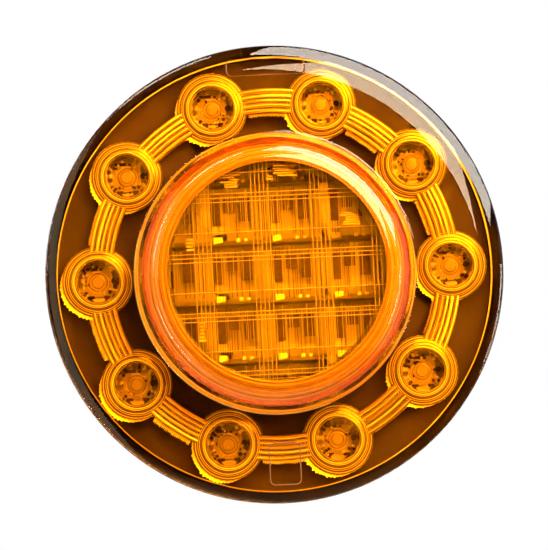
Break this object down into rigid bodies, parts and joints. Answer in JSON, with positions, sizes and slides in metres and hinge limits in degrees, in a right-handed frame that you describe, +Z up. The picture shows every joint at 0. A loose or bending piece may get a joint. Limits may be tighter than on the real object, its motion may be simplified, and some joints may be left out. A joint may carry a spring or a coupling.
{
  "type": "trailer tail light",
  "caption": "Round amber LED trailer lamp: ringed marker cups round a raised prism-lens turn signal, studs and connector at the rear.",
  "frame": {"origin": "centre of the stud circle on the panel face, where the gasket meets the panel", "axes": "+Y along the lamp's axis, from the lens towards the connector; the lens faces -Y; +Z is up, +X to the right seen from the lens side"},
  "size_m": [0.122, 0.069, 0.122],
  "materials": {
    "black_housing": "glossy black moulded plastic, light wear on the rim",
    "plated_steel": "zinc plated steel",
    "foam_rubber": "closed cell foam rubber",
    "amber_lens": "clear amber polycarbonate, polished",
    "seal_rubber": "moulded silicone rubber",
    "pale_bond": "pale silicone adhesive bead",
    "black_bezel": "satin black moulded plastic",
    "clear_guide": "clear moulded acrylic with ridges",
    "clear_lens": "clear moulded acrylic, polished",
    "clear_epoxy": "water clear epoxy",
    "lead_metal": "tinned lead frame",
    "led_chip": "yellow light emitting chip",
    "board_green": "solder mask over glass epoxy board",
    "mirror_coat": "vacuum metallised plastic",
    "clear_prism": "clear acrylic with flutes and ridges",
    "chip_black": "moulded epoxy package",
    "resistor_body": "ceramic chip resistor",
    "capacitor_can": "aluminium can",
    "pin_brass": "tin over brass contact",
    "sealant": "potting resin",
    "membrane": "expanded PTFE membrane"
  },
  "bodies": {
    "root": {"board_link_pins": "lead_metal", "board_screws": "plated_steel", "capacitors": "capacitor_can", "connector_pins": "pin_brass", "connector_shell": "black_housing", "driver_board": "board_green", "driver_chips": "chip_black", "driver_screws": "plated_steel", "inductor": "chip_black", "inner_bezel": "black_bezel", "led_board": "board_green", "lens_bond": "pale_bond", "lens_seal": "seal_rubber", "marker_led_bodies": "clear_epoxy", "marker_led_chips": "led_chip", "marker_led_frames": "lead_metal", "marker_lenses": "clear_lens", "marker_light_guide": "clear_guide", "mounting_gasket": "foam_rubber", "mounting_studs": "plated_steel", "outer_lens": "amber_lens", "pin_sealant": "sealant", "prism_lens": "clear_prism", "protection_diodes": "chip_black", "rear_housing": "black_housing", "reflector": "mirror_coat", "reflector_screws": "plated_steel", "resistors": "resistor_body", "turn_led_bodies": "clear_epoxy", "turn_led_chips": "led_chip", "turn_led_frames": "lead_metal", "vent_cap": "black_housing", "vent_membrane": "membrane"}
  },
  "joints": []
}
